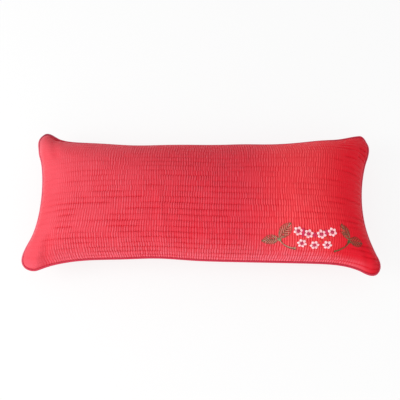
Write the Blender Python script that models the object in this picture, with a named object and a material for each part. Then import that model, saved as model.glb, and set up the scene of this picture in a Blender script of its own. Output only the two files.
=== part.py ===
"""A long buckwheat pillow with pinched ears, lying on its back: one filled body in channel-quilted cotton
and the piping sewn into the seam round it. Metres, +Z up, the origin on the floor under the middle."""

from collections import namedtuple

import bmesh
import bpy
import numpy as np

# The seam line round the pillow, from ear to ear
LENGTH = 0.5245
WIDTH = 0.2265

# How far the ears hang below the rest of the seam, and how near the ends and the sides that starts
EAR_DROOP = 0.005
DROOP_POWERS = (8, 4)

# How far the fill draws the seam in between the ears, and how suddenly an ear's own pull lets go
END_DRAW = {"left": 0.0245, "right": 0.028}
SIDE_DRAW = {"front": 0.022, "back": 0.0245}
PULL_POWER = 1.63

# The filling, measured from the seam
SEAM_HEIGHT = 0.044
CROWN = 0.054
BELLY = 0.064
SIDE_ROUNDING = (3.6, 0.85)
END_ROUNDING = (6.5, 0.68)

# The quilting: channels run the long way, and each has one rounded ridge between two stitched rows
CHANNELS = 28
RIDGE = 0.0017
STITCH_SINK = 0.0004
SEAM_MARGIN = 0.07

# The mesh along the pillow, closer together towards the ends. Its columns straighten towards the long seams,
# where the cloth isn't bent down at the ends
COLUMNS = 40
END_CROWDING = 0.6
STRAIGHTENING = 3
BEND_SAMPLES = 2001

PIPING_RADIUS = 0.0015
SEWN_GAP = 0.0003

CLOTH_RED = (0.62, 0.045, 0.065, 1.0)
PIPING_RED = (0.50, 0.035, 0.075, 1.0)

# Each ear's tip is rounded, and its pull dies out along the two seams that meet there
Ear = namedtuple("Ear", "end side radius end_reach side_reach")
EARS = (
    Ear("left", "back", 0.034, 0.0605, 0.028),
    Ear("left", "front", 0.0305, 0.047, 0.058),
    Ear("right", "back", 0.026, 0.0645, 0.101),
    Ear("right", "front", 0.033, 0.052, 0.037),
)

# Places where a seam is drawn in a little further or, where the depth is below 0, not as far
Tuck = namedtuple("Tuck", "seam place depth spread")
TUCKS = (
    Tuck("front", -0.062, 0.0029, 0.044),
    Tuck("back", -0.108, 0.0030, 0.049),
    Tuck("back", 0.065, -0.0016, 0.036),
    Tuck("back", 0.2175, 0.0031, 0.025),
    Tuck("left", 0.0705, -0.0015, 0.010),
)

# Broad swells and hollows where the hulls have settled under the upper face
Swell = namedtuple("Swell", "x y rise spread")
SWELLS = (
    Swell(-0.065, 0.000, 0.0022, 0.045),
    Swell(0.030, 0.050, -0.0022, 0.040),
    Swell(0.120, 0.010, 0.0018, 0.050),
    Swell(-0.170, -0.020, -0.0016, 0.045),
    Swell(0.185, -0.045, 0.0014, 0.035),
)


def clear_scene():
    for thing in list(bpy.data.objects):
        bpy.data.objects.remove(thing, do_unlink=True)


def cloth_material(name, colour, roughness):
    material = bpy.data.materials.new(name)
    material.use_nodes = True
    shader = material.node_tree.nodes["Principled BSDF"]
    shader.inputs["Base Color"].default_value = colour
    shader.inputs["Roughness"].default_value = roughness
    shader.inputs["Metallic"].default_value = 0.0
    material.diffuse_color = colour
    return material


def ear(end, side):
    return next(one for one in EARS if (one.end, one.side) == (end, side))


def drawn_in(from_low, from_high, low_reach, high_reach):
    """0 at both ears and 1 midway, with each ear's pull dying out over its own reach."""
    low_pull = np.exp(-((from_low / low_reach) ** PULL_POWER))
    high_pull = np.exp(-((from_high / high_reach) ** PULL_POWER))
    return 1 - low_pull - high_pull


def tucked(seam, place):
    """How much further in this seam lies, so far along it from its middle."""
    return sum(
        tuck.depth * np.exp(-(((place - tuck.place) / tuck.spread) ** 2))
        for tuck in TUCKS
        if tuck.seam == seam
    )


def end_seam(end, across):
    """How far out an end seam lies, across the pillow from -1 at the front to 1 at the back."""
    from_front = (across + 1) * WIDTH / 2
    front, back = ear(end, "front"), ear(end, "back")
    pull = drawn_in(from_front, WIDTH - from_front, front.end_reach, back.end_reach)
    return LENGTH / 2 - END_DRAW[end] * pull - tucked(end, across * WIDTH / 2)


def side_seam(side, along):
    """How far out a long seam lies, along the pillow from -1 at the left to 1 at the right."""
    from_left = (along + 1) * LENGTH / 2
    left, right = ear("left", side), ear("right", side)
    pull = drawn_in(from_left, LENGTH - from_left, left.side_reach, right.side_reach)
    return WIDTH / 2 - SIDE_DRAW[side] * pull - tucked(side, along * LENGTH / 2)


def rounding(position, shape):
    """The filling's height, 1 in the middle and 0 at the seams that position counts to, -1 and 1."""
    power, fullness = shape
    return np.maximum(1 - np.abs(position) ** power, 0) ** fullness


def evenly_spread(steps, half_width, height, shape):
    """Where evenly spaced rows of the flat cloth come to lie, once it is bent over this rounding."""
    position = np.linspace(-1, 1, BEND_SAMPLES)
    rise = height * rounding(position, shape)
    walked = np.cumsum(np.hypot(np.diff(position) * half_width, np.diff(rise)))
    walked = np.concatenate([[0.0], walked])
    return np.interp((steps + 1) / 2 * walked[-1], walked, position)


def column_positions():
    """The columns' places in the flat cloth, closer together towards the ends."""
    step = np.linspace(-1, 1, COLUMNS + 1)
    return (1 - END_CROWDING) * step + END_CROWDING * np.sin(step * np.pi / 2)


def rounded_ear(from_end, from_side, radius):
    """Pulls a point of a square corner inside the ear's round tip. Both distances are measured inwards."""
    a = 1 - from_end / radius
    b = 1 - from_side / radius
    if a <= 0 or b <= 0:
        return from_end, from_side
    round_a = a * np.sqrt(1 - b * b / 2)
    round_b = b * np.sqrt(1 - a * a / 2)
    return radius * (1 - round_a), radius * (1 - round_b)


def outline_point(along, across):
    """The x and y of a place on the panel, both given from -1 to 1, before the outline is centred."""
    end = "right" if along > 0 else "left"
    side = "back" if across > 0 else "front"
    end_x = end_seam(end, across)
    side_y = side_seam(side, along)
    from_end, from_side = rounded_ear(
        end_x * (1 - abs(along)), side_y * (1 - abs(across)), ear(end, side).radius
    )
    x = np.sign(along) * (end_x - from_end)
    return np.array([x, np.sign(across) * (side_y - from_side)])


def seam_places():
    """The places along the seam, once round the pillow, anticlockwise seen from above."""
    rows = np.linspace(-1, 1, 2 * CHANNELS + 1)
    columns = column_positions()
    around = [(along, -1.0) for along in columns]
    around += [(1.0, across) for across in rows[1:-1]]
    around += [(along, 1.0) for along in columns[::-1]]
    around += [(-1.0, across) for across in rows[-2:0:-1]]
    return around


def outline_middle():
    outline = np.array([outline_point(*place) for place in seam_places()])
    return (outline.min(axis=0) + outline.max(axis=0)) / 2


MIDDLE = outline_middle()


def plan_point(along, across):
    """The x and y of a place on the panel, with the origin under the middle of the outline."""
    return outline_point(along, across) - MIDDLE


def seam_level(along, across):
    near_end, near_side = DROOP_POWERS
    return SEAM_HEIGHT - EAR_DROOP * abs(along) ** near_end * abs(across) ** near_side


def swell(x, y):
    return sum(
        one.rise * np.exp(-(((x - one.x) ** 2 + (y - one.y) ** 2) / one.spread**2))
        for one in SWELLS
    )


def panel_points(face):
    """The points of one panel, by column and row. face is 1 for the upper panel and -1 for the lower."""
    depth = CROWN if face > 0 else BELLY
    rows = np.linspace(-1, 1, 2 * CHANNELS + 1)
    columns = column_positions()
    bent = evenly_spread(columns, LENGTH / 2, depth, END_ROUNDING)
    points = []
    for flat_along, bent_along in zip(columns, bent):
        end_height = rounding(bent_along, END_ROUNDING)
        side_y = side_seam("front", flat_along)
        row_places = evenly_spread(rows, side_y, depth * end_height, SIDE_ROUNDING)
        column = []
        for across in row_places:
            along = bent_along + (flat_along - bent_along) * abs(across) ** STRAIGHTENING
            x, y = plan_point(along, across)
            height = rounding(across, SIDE_ROUNDING) * rounding(along, END_ROUNDING)
            z = seam_level(along, across) + face * height * depth
            if face > 0:
                z += swell(x, y) * height
            column.append((x, y, z))
        points.append(column)
    return points


def add_panel(mesh, face):
    """Adds one panel as a grid of faces and returns its points by column and row."""
    grid = [[mesh.verts.new(point) for point in column] for column in panel_points(face)]
    for left, right in zip(grid, grid[1:]):
        for low in range(len(left) - 1):
            corners = [left[low], right[low], right[low + 1], left[low + 1]]
            mesh.faces.new(corners if face > 0 else corners[::-1])
    return grid


def raise_channels(grid):
    """Lifts the middle of each channel and sinks its stitched rows, less and less towards the seam."""
    last_column, last_row = len(grid) - 1, len(grid[0]) - 1
    moves = []
    for i, column in enumerate(grid):
        for j, vertex in enumerate(column):
            inwards = min(i / last_column, 1 - i / last_column, j / last_row, 1 - j / last_row)
            fade = min(inwards / SEAM_MARGIN, 1.0)
            lift = RIDGE if j % 2 else -STITCH_SINK
            moves.append((vertex, vertex.normal * lift * fade))
    for vertex, move in moves:
        vertex.co += move


def make_pillow():
    """The filled body: two panels joined round the seam, pressed flat where it rests on the floor."""
    mesh = bmesh.new()
    panels = [add_panel(mesh, face) for face in (1, -1)]
    mesh.normal_update()
    for grid in panels:
        raise_channels(grid)
    for vertex in mesh.verts:
        vertex.co.z = max(vertex.co.z, 0.0)
    bmesh.ops.remove_doubles(mesh, verts=mesh.verts, dist=1e-6)
    return finish_object("pillow", mesh, cloth_material("quilted_cotton", CLOTH_RED, 0.8))


def finish_object(name, mesh, material):
    data = bpy.data.meshes.new(name)
    mesh.to_mesh(data)
    mesh.free()
    data.shade_smooth()
    data.materials.append(material)
    made = bpy.data.objects.new(name, data)
    bpy.context.collection.objects.link(made)
    return made


def make_piping():
    """The piping: a thin round cord that runs along the outside of the seam."""
    line = np.array([(*plan_point(*place), seam_level(*place)) for place in seam_places()])
    forward = np.roll(line, -1, axis=0) - np.roll(line, 1, axis=0)
    outward = np.stack([forward[:, 1], -forward[:, 0]], axis=1)
    outward /= np.linalg.norm(outward, axis=1, keepdims=True)
    line[:, :2] += outward * (PIPING_RADIUS + SEWN_GAP)
    curve = bpy.data.curves.new("piping", "CURVE")
    curve.dimensions = "3D"
    curve.bevel_depth = PIPING_RADIUS
    curve.bevel_resolution = 2
    spline = curve.splines.new("POLY")
    spline.points.add(len(line) - 1)
    for point, place in zip(spline.points, line):
        point.co = (*place, 1.0)
    spline.use_cyclic_u = True
    spline.use_smooth = True
    curve.materials.append(cloth_material("piping_cotton", PIPING_RED, 0.75))
    made = bpy.data.objects.new("piping", curve)
    bpy.context.collection.objects.link(made)
    return made


def main():
    clear_scene()
    make_pillow()
    make_piping()


main()
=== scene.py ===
"""Dresses a long buckwheat pillow: pleated and channel-quilted cotton over the filling, the piping in its seam, the
quilting thread, an embroidered spray, and a pale floor under soft light. Metres, +Z up.

It is laid out as an add-on and run as a script."""

import math
from collections import namedtuple

import bpy
import numpy as np
from mathutils import Matrix, Vector


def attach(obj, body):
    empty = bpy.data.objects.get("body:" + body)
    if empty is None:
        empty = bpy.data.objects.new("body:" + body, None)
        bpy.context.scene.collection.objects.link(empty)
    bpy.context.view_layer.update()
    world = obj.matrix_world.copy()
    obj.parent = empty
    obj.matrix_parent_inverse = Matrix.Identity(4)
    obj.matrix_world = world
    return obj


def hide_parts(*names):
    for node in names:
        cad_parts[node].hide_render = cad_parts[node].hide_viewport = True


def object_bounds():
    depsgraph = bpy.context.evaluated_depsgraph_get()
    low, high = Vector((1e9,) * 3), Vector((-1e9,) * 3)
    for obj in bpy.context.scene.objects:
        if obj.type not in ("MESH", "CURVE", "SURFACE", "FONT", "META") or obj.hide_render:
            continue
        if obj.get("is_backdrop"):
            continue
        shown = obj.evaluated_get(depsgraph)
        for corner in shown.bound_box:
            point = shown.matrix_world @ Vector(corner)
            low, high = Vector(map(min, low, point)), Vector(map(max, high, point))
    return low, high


bl_info = {
    "name": "Buckwheat Pillow",
    "version": (1, 0, 0),
    "blender": (4, 5, 0),
    "location": "View3D > Sidebar > Pillow",
    "description": "Makes a piped and quilted buckwheat pillow with an embroidered spray",
    "category": "Mesh",
}

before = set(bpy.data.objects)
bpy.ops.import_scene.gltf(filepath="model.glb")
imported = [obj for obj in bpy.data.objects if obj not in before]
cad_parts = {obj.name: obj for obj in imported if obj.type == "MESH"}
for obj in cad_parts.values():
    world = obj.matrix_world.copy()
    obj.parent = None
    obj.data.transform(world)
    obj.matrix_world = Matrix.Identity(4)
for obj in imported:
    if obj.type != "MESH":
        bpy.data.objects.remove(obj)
CAD_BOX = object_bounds()
BODY = "root"

# The four seams, as the solid has them but for four small tucks, the last at the left and in front and both at the
# right: how far the fill draws each one in, how far the ears' pull reaches at its start and its end, and its tucks,
# where it is drawn in a little further or, with a depth below 0, not as far
Seam = namedtuple("Seam", "draw start_reach end_reach tucks")
Tuck = namedtuple("Tuck", "place depth spread")
SEAMS = {
    "left": Seam(0.0245, 0.047, 0.0605, (Tuck(0.0705, -0.0015, 0.010), Tuck(-0.079, -0.0014, 0.012))),
    "right": Seam(0.028, 0.052, 0.0645, (Tuck(0.1137, 0.0030, 0.014), Tuck(0.0785, -0.0012, 0.010))),
    "front": Seam(0.022, 0.058, 0.037, (Tuck(-0.062, 0.0029, 0.044), Tuck(-0.236, -0.0014, 0.013))),
    "back": Seam(
        0.0245, 0.028, 0.101,
        (Tuck(-0.108, 0.0030, 0.049), Tuck(0.065, -0.0016, 0.036), Tuck(0.2175, 0.0031, 0.025)),
    ),
}

# How suddenly an ear's pull on the seam lets go, and how far the ears hang below it
PULL_POWER = 1.63
EAR_DROOP = 0.005
DROOP_POWERS = (8, 4)

# How far each ear's tip is rounded, along the long seam and along the end seam: the left end's ears, front and back,
# and then the right end's
EAR_ROUNDING = np.array([[(0.0305, 0.0305), (0.034, 0.034)], [(0.033, 0.033), (0.012, 0.032)]])

# The filling's rounding across and along the pillow, as the solid has it
SIDE_ROUNDING = (3.6, 0.85)
END_ROUNDING = (6.5, 0.68)
STRAIGHTENING = 3
BEND_SAMPLES = 801

# Broad swells and hollows where the hulls have settled under the upper face
Swell = namedtuple("Swell", "x y rise spread")
SWELLS = (
    Swell(-0.065, 0.000, 0.0022, 0.045),
    Swell(0.030, 0.050, -0.0022, 0.040),
    Swell(0.120, 0.010, 0.0018, 0.050),
    Swell(-0.170, -0.020, -0.0016, 0.045),
    Swell(0.185, -0.045, 0.0014, 0.035),
)

# The cloth simulation that fills the cover: its lines along and across, how full the cover is when it starts, the
# pressure inside, its frames, below which height the cover is held still, and how far a place may move
SETTLING_LINES = (77, 29)
START_FULLNESS = 0.955
PRESSURE = 4.0
SETTLING_FRAMES = 20
HELD_HEIGHT = 0.0005
FURTHEST_MOVE = 0.006
SETTLED = {}

# Where the mesh's lines lie in one channel, from its stitched row, and how high the wadding holds each one up there.
# The same heights hold for a pleat's lines, from its valley. The lower panel has every other line
CHANNEL_LINES = (0.0, 0.15, 0.5, 0.85)
LINE_HEIGHTS = (0.0, 0.80, 1.0, 0.80)
LOWER_STEP = 2

# Seeds of the random draws, and a margin so that rounding never adds or drops a noise's last blobs
UPPER_SEED, LOWER_SEED, QUILTING_SEED = 100, 200, 7
EDGE_MARGIN = 1e-6

# How far in from the seam the quilting is raised in full and sewn, and how far the lower panel lies from the upper
# one in the UV map, in widths
SEAM_MARGIN = 0.004
LOWER_MAP_SHIFT = 1.5

# How far the pleats lean and stray in each channel, over what length that changes, how far they wave together and
# how far the stitched rows wander, and in how many rounds a place's own lines are found
LEAN, LEAN_LENGTH = 0.0011, 0.014
STRAY, STRAY_LENGTH = 0.0003, 0.006
WAVE, ROW_WANDER = 0.0008, 0.0004
WANDER_ROUNDS = 6

# How strong the pleats are in the middle, what that changes by along and across, its least, and how much it comes
# and goes. The weakest and the strongest pleat, the part of its height that is level with the cloth, and what is left
# of it in the stitched rows
PLEAT_DRIFT = (0.84, 1.2, -1.6, 0.3)
PLEAT_CHANGE = 0.22
WEAKEST_PLEAT, STRONGEST_PLEAT = 0.15, 1.45
PLEAT_LEVEL, STITCHED_PLEAT = 0.6, 0.5

# Where something sets in and is full, and how much each of the two changes elsewhere. For the pleats they are
# distances from the end, changed within a reach of the front seam at the left, and of the back seam at the right
Fade = namedtuple("Fade", "start full start_change full_change")
LEFT_PLEATS, FRONT_REACH = Fade(0.030, 0.072, -0.012, -0.010), 0.030
RIGHT_PLEATS, BACK_REACH = Fade(0.022, 0.070, 0.020, 0.035), 0.060

# How wide the stitched rows' tight stretches are, in channels, how tight the slackest and the other ones are, how far
# from the left end they set in and what is left before, and how far a row sinks where it pins a valley
STRETCH_WIDTH = 0.7
SLACKEST, TAUT = 0.08, 0.65
LEFT_ROWS, SLACK_AT_END = Fade(0.045, 0.085, -0.020, -0.010), 0.12
VALLEY_SINK = 1.40

# How far the wadding lifts the cloth, how high the hulls' small lumps and the seam's puckers are, and how far from
# the seam the puckers reach
WADDING, LUMPS, PUCKER, PUCKER_REACH = 0.0006, 0.0004, 0.0005, 0.007

# Where the cloth lies between its valleys' colour, 0, and its tops', 1, and how much pleats, stitched rows and
# creases change that. This is painted light: painted shade in the valleys, rows and creases, painted highlight on the
# tops
MIDDLE_TONE, PLEAT_TONE, ROW_TONE, CREASE_TONE = 0.55, 1.25, 0.95, 70

# A soft-edged region of the cloth, with how much something changes in it. Each of its edges is a pair of places,
# where it sets in and where it is full, along the pillow and then across it
Region = namedtuple("Region", "share along across")

# Where the pleats are flatter, and where their tops stand out more in colour, in stronger painted highlight and shade
FLATTER_PLEATS = (
    Region(0.36, (0.07, 0.13), (-0.06, 0.02)),
    Region(0.28, (-0.11, -0.17), ()),
    Region(0.40, (0.165, 0.205), (-0.055, -0.080)),
)
VIVID_PLEATS = Region(0.55, (0.06, 0.12, 0.20, 0.16), ())

# How the stitched rows change over the panel: where more stretches are drawn tight, where fewer are, where they are
# tighter, where they are slack, and where they start nearer to the left end
BUSY_ROWS = Region(0.35, (-0.17, -0.12, 0.10, 0.06), (0.03, -0.01))
CALM_ROWS = Region(0.3, (0.06, 0.10, 0.20, 0.17), ())
TIGHTER_ROWS = Region(0.30, (), (0.02, -0.040))
SLACK_ROWS = (Region(0.45, (0.20, 0.12), (0.030, 0.075)), Region(0.5, (-0.05, -0.13), (-0.01, 0.04)))
EARLY_ROWS = Region(1.0, (), (0.01, -0.03, -0.088, -0.066))

# Creases that the fill has pushed into the upper panel, each a soft trough between two places of the flat cloth.
# Where the depth is below 0, it is a ridge
Crease = namedtuple("Crease", "x y to_x to_y depth width")
CREASES = (
    Crease(-0.244, 0.1135, -0.196, 0.1142, 0.0040, 0.0018),
    Crease(-0.230, 0.1080, -0.217, 0.0600, 0.0015, 0.0075),
    Crease(-0.222, -0.1130, -0.214, -0.0700, 0.0016, 0.0070),
    Crease(0.238, 0.0833, 0.2525, 0.0833, 0.0030, 0.0016),
    Crease(0.238, 0.0750, 0.2535, 0.0750, 0.0032, 0.0016),
    Crease(0.237, 0.0667, 0.2525, 0.0667, 0.0026, 0.0016),
    Crease(0.238, -0.1040, 0.228, -0.0740, 0.0014, 0.0060),
    Crease(-0.0635, -0.0040, -0.051, -0.0715, -0.0012, 0.0070),
)

# One stitch of each kind of thread, by the places along it and its thickness there, and the sides of its thread
EMBROIDERY_STITCH = ((0.0, 0.30), (0.07, 0.75), (0.25, 1.0), (0.5, 1.0), (0.75, 1.0), (0.93, 0.75), (1.0, 0.30))
QUILTING_STITCH = ((0.0, 0.4), (0.25, 1.0), (0.75, 1.0), (1.0, 0.4))
EMBROIDERY_SIDES, QUILTING_SIDES = 8, 5
QUILTING_RADIUS = 0.00022

# How far a thread is lifted off the cloth, in radii, the least height of one over the floor, and how far outside the
# seam the piping's middle lies, in radii
THREAD_LIFT, LOWEST_THREAD, SEWN_OUT = 0.35, 0.0001, 0.85

# The embroidered flowers, by their places in the flat cloth and how far they are turned
Flower = namedtuple("Flower", "x y turn")
FLOWERS = (
    Flower(0.1328, -0.0599, 13),
    Flower(0.1471, -0.0636, 13),
    Flower(0.1649, -0.0638, 42),
    Flower(0.1804, -0.0604, 46),
    Flower(0.1378, -0.0782, 49),
    Flower(0.1555, -0.0808, 7),
    Flower(0.1732, -0.0801, 58),
)
PETALS = 6

# Small filled patches between the flowers, with the length of their stitches and their width
Patch = namedtuple("Patch", "x y turn length width")
PATCHES = (
    Patch(0.1392, -0.0618, 84, 0.0142, 0.0048),
    Patch(0.1556, -0.0650, 10, 0.0080, 0.0068),
    Patch(0.1719, -0.0606, 95, 0.0090, 0.0040),
)
SMALL_PATCHES = (Patch(0.1721, -0.0692, 20, 0.0056, 0.0054), Patch(0.1637, -0.0741, 40, 0.0050, 0.0044))
PATCH_STITCHES = 11

# The leaves, from the node to the tip, with how far along they are widest and the stitches on each side of the vein
Leaf = namedtuple("Leaf", "x y tip_x tip_y width widest stitches")
LEAVES = (
    Leaf(0.1060, -0.0714, 0.1230, -0.0487, 0.0152, 0.51, 13),
    Leaf(0.1054, -0.0716, 0.0822, -0.0758, 0.0138, 0.44, 13),
    Leaf(0.2057, -0.0710, 0.1955, -0.0480, 0.0130, 0.56, 13),
    Leaf(0.2050, -0.0706, 0.2283, -0.0722, 0.0148, 0.49, 10),
)
LEAF_FULLNESS = 0.8

# The stems, each a bow from its node through a middle place to its end, with the length of the knob there, and how
# far each of a stem's two lines of stitches lies from its middle
Stem = namedtuple("Stem", "x y mid_x mid_y end_x end_y knob")
STEMS = (
    Stem(0.1068, -0.0731, 0.1160, -0.0828, 0.1288, -0.0866, 0.0038),
    Stem(0.2040, -0.0728, 0.1969, -0.0824, 0.1848, -0.0900, 0.0024),
)
STEM_SPACING = 0.0009

# The colours painted on the cotton along the pillow, each from where it sets in to where it is full. They paint light
# and
# shade in: a painted sheen at the left end and against its seam, painted shade in the middle, painted light past it,
# the cotton with no painted sheen at the right end, and painted shade against the right seam. Its valleys turn bright
# with the same painted light where its tops do
BRIGHT = (0.05, 0.13)
DRIFTS = (
    ("cloth_sheen", -0.262, -0.240),
    ("cloth", -0.26, 0.03),
    ("cloth_lit", *BRIGHT),
    ("cloth_deep", 0.14, 0.225),
    ("cloth_in_shade", 0.222, 0.256),
)

# Where the cotton is darkened by the right ear in front, as painted shade, with a little more painted shade there and
# by the left ear at the back, and where the piping is paler as painted sheen and darker as painted shade
SHADE_BY_EAR = Region(0.6, (0.180, 0.205, 0.240, 0.222), (-0.050, -0.080))
SHADES = (Region(0.08, (0.07, 0.17), (-0.035, -0.075)), Region(0.13, (-0.125, -0.185), (0.070, 0.108)))
SHEENED_PIPING = Region(1.0, (-0.225, -0.250), (-0.112, -0.090))
SHADED_PIPING = Region(1.0, (0.06, -0.10), (0.090, 0.106))

# The strip of painted sheen along the front, standing for the floor's light on it: where it sets in and is full
# across the pillow and how much that changes to the right, where along it that changes and where it ends, and where
# it is rosier, as a painted reflection
STRIP = Fade(-0.062, -0.108, -0.032, -0.004)
NARROWING, STRIP_END = (0.07, 0.225), (0.256, 0.212)
ROSY, ROSY_SEAM = (0.08, 0.16), Region(0.85, (), (-0.096, -0.112))

# The threads of the cotton's weave, one turn of a sewing thread's two plies, and how dark its darkest strands are
WEAVE = math.tau / 0.00065
TWIST = math.tau / 0.0011
DARK_STRAND = (0.68, 0.68, 0.68)
SHEEN_ROUGHNESS = 0.4
BLACK, WHITE = (0, 0, 0), (1, 1, 1)

# How far up a petal its base's colour reaches, and where the leaves' threads change to their deeper colours at the
# right, and to that of the last leaf
BASE_LENGTH = 0.0045
DEEP_THREAD, LAST_THREAD = (0.140, 0.170), (0.2045, 0.2105)

# The floor, the soft lights by where they stand and their size, and how far the camera aims left of the pillow's
# middle and below it
FLOOR_SIZE, FLOOR_LEVEL = 8, -0.0003
LAMPS = (("key", (-1.15, -0.25, 0.80), 0.7), ("fill", (0.1, -1.2, 0.75), 1.4))
AIM_LEFT, AIM_DOWN = 0.0041, 0.0011
SENSOR_WIDTH = 36.0


def size(name, description, default):
    """A size of the pillow, in metres."""
    return bpy.props.FloatProperty(name=name, description=description, default=default, unit="LENGTH")


def colour(name, description, *default):
    """A colour of the cloth or of a thread."""
    return bpy.props.FloatVectorProperty(
        name=name, description=description, subtype="COLOR", size=3, default=default,
    )


def power(name, description, default):
    """The power or strength of a light."""
    return bpy.props.FloatProperty(name=name, description=description, default=default)


class PillowShape(bpy.types.PropertyGroup):
    """The sizes of the pillow, of its quilting and of its embroidery."""

    length: size("Length", "Seam line from end to end, before its ears are rounded", 0.5253)
    width: size("Width", "Seam line from front to back, before its ears are rounded", 0.2273)
    seam_height: size("Seam Height", "Height of the seam above the floor", 0.044)
    crown: size("Crown", "Height of the filling above the seam", 0.054)
    belly: size("Belly", "Depth of the filling below the seam, before the floor flattens it", 0.064)
    channels: bpy.props.IntProperty(
        name="Channels", description="Quilted channels across one panel", default=28,
    )
    channel_height: size("Channel Height", "How far a channel stands above its stitched rows", 0.0013)
    pleats: bpy.props.IntProperty(
        name="Pleats", description="Fine pleats along one channel", default=152,
    )
    pleat_height: size("Pleat Height", "Height of a fine pleat above its valleys", 0.00115)
    piping_radius: size("Piping Radius", "Radius of the piping in the seam", 0.0014)
    quilting_stitch: size("Quilting Stitch", "Length of one stitch of the quilting", 0.0026)
    flower_radius: size("Flower Radius", "From a flower's middle to the tips of its petals", 0.0068)


class PillowColours(bpy.types.PropertyGroup):
    """The colours of the cloth and of the threads."""

    # Cloth is darkened a little in the middle of the pillow as painted shade
    cloth: colour("Cloth", "Quilted cotton on top of its pleats, in the middle of the pillow", 0.7, 0.066, 0.093)
    # The left end and the front take a paler, pinker colour as painted sheen
    cloth_sheen: colour(
        "Faded Cloth", "The same where it has faded, at the left end and along the front", 0.76, 0.119, 0.154,
    )
    # Lit cloth is lightened past the middle as painted light
    cloth_lit: colour("Bright Cloth", "The same behind the embroidery", 0.87, 0.082, 0.096)
    # Deep Cloth is the cotton at the right end, with no painted sheen on it
    cloth_deep: colour("Deep Cloth", "The same at the right end, where it has faded least", 0.8, 0.015, 0.03)
    # Against the left seam the painted sheen is strongest
    cloth_most_sheen: colour("Pale Cloth", "The same against the left seam, where it has faded most", 0.78, 0.2, 0.25)
    # Against the right seam and by the right ear in front the cotton is darkened as painted shade
    cloth_in_shade: colour("Dark Cloth", "The same against the right seam", 0.68, 0.018, 0.036)
    # Along the front seam the cotton takes a rosier colour as a painted reflection of the floor's light
    cloth_rosy_reflection: colour("Rosy Cloth", "The same along the front seam, below the embroidery", 0.88, 0.157, 0.208)
    # The valleys' colour is darker than the tops' as painted shade
    cloth_valley: colour(
        "Cloth in the Valleys", "Quilted cotton in its stitched rows and between its pleats", 0.6, 0.003, 0.014,
    )
    # The valleys there are lightened with the same painted light as the tops
    cloth_valley_lit: colour(
        "Bright Cloth in the Valleys", "The same behind the embroidery and at the right end", 0.66, 0.003, 0.014,
    )
    piping: colour("Piping", "Cotton over the piping cord", 0.64, 0.042, 0.085)
    # Round the left end the piping is paler as painted sheen
    piping_sheen: colour("Faded Piping", "The same round the left end", 0.76, 0.15, 0.21)
    # Along the left half of the back the piping is darkened as painted shade
    piping_shaded: colour("Dark Piping", "The same along the left half of the back", 0.34, 0.022, 0.06)
    petals: colour("Petals", "Thread of the petals", 1.0, 0.86, 0.86)
    petal_bases: colour("Petal Bases", "Thread of the petals near the flower's middle", 0.95, 0.45, 0.5)
    flower_centres: colour("Flower Centres", "Thread of the flower centres", 0.66, 0.036, 0.115)
    flower_patches: colour("Patches", "Thread of the patches between the flowers", 0.82, 0.032, 0.12)
    small_patches: colour("Small Patches", "Thread of the two smaller patches there", 0.84, 0.05, 0.035)
    leaf_edges: colour("Leaf Edges", "Thread of the leaves' edges and veins", 0.24, 0.12, 0.06)
    leaf_fills: colour("Leaf Fills", "Thread of the slanting stitches inside the leaves", 0.64, 0.38, 0.26)
    leaf_shades: colour("Leaf Shades", "Darker thread between those stitches", 0.2, 0.08, 0.04)
    stems: colour("Stems", "Thread of the stems' upper side", 0.58, 0.34, 0.22)
    stem_shades: colour("Stem Shades", "Thread of the stems' lower side", 0.16, 0.06, 0.03)
    leaf_nodes: colour("Nodes", "Thread where the leaves meet", 0.24, 0.3, 0.14)
    deep_leaves: colour("Deep Leaves", "How much of its thread the right-hand leaves keep", 0.7, 0.52, 0.42)
    deep_stems: colour("Deep Stems", "How much of its thread the right-hand stem keeps", 0.38, 0.35, 0.15)
    last_leaf: colour("Last Leaf", "How much of that the last leaf at the right keeps", 1.0, 0.66, 0.66)
    floor: colour("Floor", "Plain pale floor", 0.15, 0.15, 0.15)


class PillowStage(bpy.types.PropertyGroup):
    """The camera and the light."""

    elevation: bpy.props.FloatProperty(
        name="Camera Elevation", description="Angle of the view above the floor",
        default=math.radians(70), subtype="ANGLE",
    )
    distance: size("Camera Distance", "From the camera to the pillow's seam level", 0.732)
    lens: bpy.props.FloatProperty(
        name="Lens", description="Focal length in millimetres, over a sensor 36 mm wide", default=43.73,
    )
    roll: bpy.props.FloatProperty(
        name="Camera Roll", description="How far the camera is turned about its own line of sight",
        default=math.radians(1.175), subtype="ANGLE",
    )
    key_power: power("Key Light", "Power of the soft light at the left, in watts", 10.5)
    fill_power: power("Fill Light", "Power of the large soft light in front, in watts", 5.5)
    room: power("Room Light", "Strength of the even light from all round", 0.78)
    floor_glow: power("Floor Glow", "Light that the floor gives off, as a lit table does", 0.81)


def let_go(distance, reach):
    """What is left of an ear's pull at this distance from it."""
    return np.exp(-((np.maximum(distance, 0) / reach) ** PULL_POWER))


def seam_line(shape, name, place):
    """How far out a seam lies, at places along it from -1 to 1: from front to back, or from left to right."""
    seam = SEAMS[name]
    long, out = (shape.width, shape.length) if name in ("left", "right") else (shape.length, shape.width)
    from_start = (place + 1) * long / 2
    pull = 1 - let_go(from_start, seam.start_reach)
    pull -= let_go(long - from_start, seam.end_reach)
    tucked = sum(
        tuck.depth * np.exp(-(((place * long / 2 - tuck.place) / tuck.spread) ** 2)) for tuck in seam.tucks
    )
    return out / 2 - seam.draw * pull - tucked


def rounding(position, powers):
    """The filling's height, 1 in the middle and 0 at the seams that position counts to, -1 and 1."""
    power, fullness = powers
    return np.maximum(1 - np.abs(position) ** power, 0) ** fullness


def bent_steps(half_width, height, powers):
    """Places from -1 to 1 under this rounding, and the way over the bent cloth from each to the next."""
    position = np.linspace(-1, 1, BEND_SAMPLES)
    rise = height * rounding(position, powers)
    return position, np.hypot(np.diff(position) * half_width, np.diff(rise))


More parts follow.
